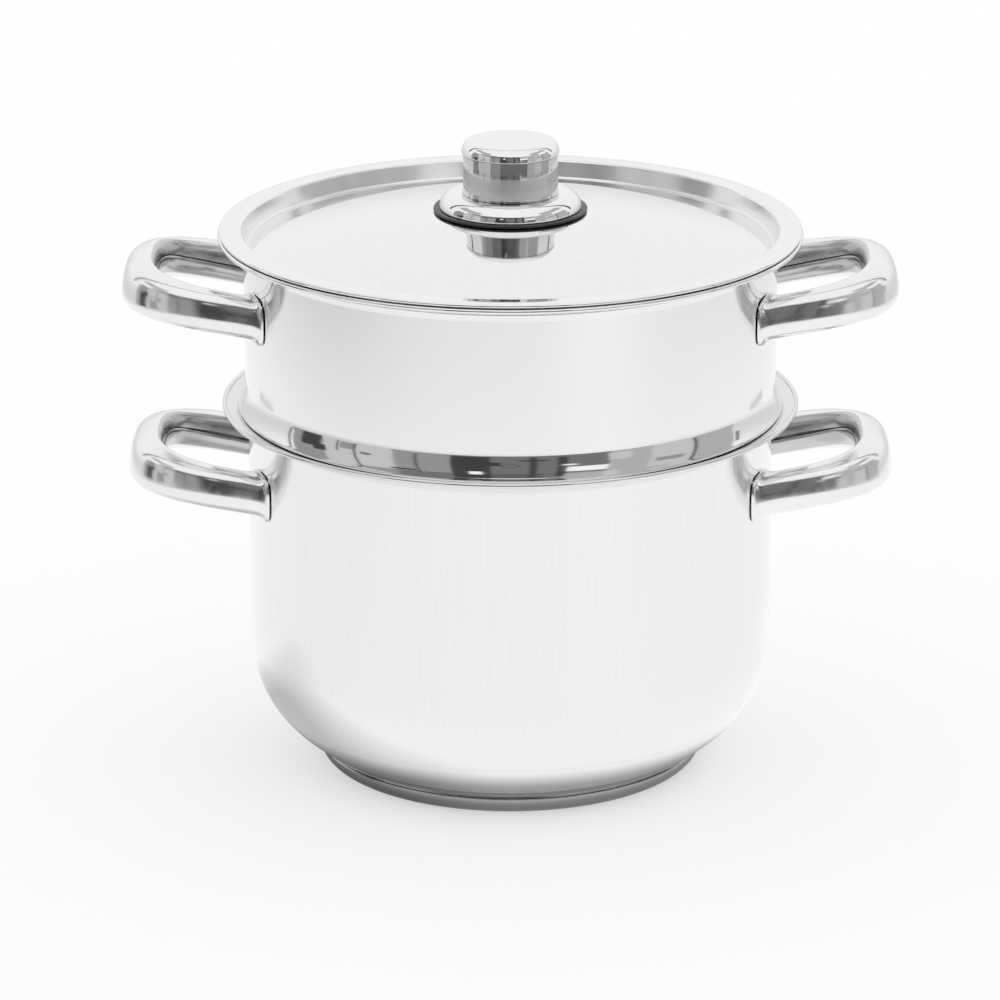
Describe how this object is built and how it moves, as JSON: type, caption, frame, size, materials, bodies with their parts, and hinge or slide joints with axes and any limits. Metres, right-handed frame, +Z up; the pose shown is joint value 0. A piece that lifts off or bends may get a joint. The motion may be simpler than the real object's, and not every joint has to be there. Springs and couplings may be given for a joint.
{
  "type": "couscous pot",
  "caption": "Stainless steel couscous pot: a deep stewpot with a capsule base, a perforated steamer that sits in its rim, and a recessed lid with a knob. Loop handles at the sides.",
  "frame": {"origin": "centre of the base's underside, where the pot stands on the hob or table", "axes": "+Z up along the axis of the pot, the steamer and the lid; +X through the right-hand handles; +Y away from the viewer of the picture"},
  "size_m": [0.355, 0.2678, 0.2949],
  "materials": {
    "satin_steel": "satin stainless steel with fine upright brushing",
    "bright_steel": "mirror-polished stainless steel",
    "base_steel": "turned satin stainless steel",
    "core_aluminium": "bare rolled aluminium",
    "black_phenolic": "moulded black heat-resistant plastic, slightly glossy",
    "fastener_steel": "plain machined steel"
  },
  "bodies": {
    "pot": {"pot_shell": "satin_steel", "base_core_disc": "core_aluminium", "base_cap": "base_steel", "pot_handle_left": "bright_steel", "pot_handle_right": "bright_steel"},
    "steamer": {"steamer_shell": "satin_steel", "steamer_handle_left": "bright_steel", "steamer_handle_right": "bright_steel"},
    "lid": {"lid_shell": "bright_steel", "knob_insulating_ring": "black_phenolic", "knob_dish": "bright_steel", "knob_sleeve": "bright_steel", "knob_cap": "bright_steel", "knob_bush": "fastener_steel", "lid_washer": "fastener_steel", "lid_screw": "fastener_steel"}
  },
  "joints": [
    {"name": "steamer_lift", "type": "slide", "parent": "pot", "child": "steamer", "axis": [0, 0, 1], "range_m": [0, 0.15]},
    {"name": "lid_lift", "type": "slide", "parent": "steamer", "child": "lid", "axis": [0, 0, 1], "range_m": [0, 0.15]}
  ]
}
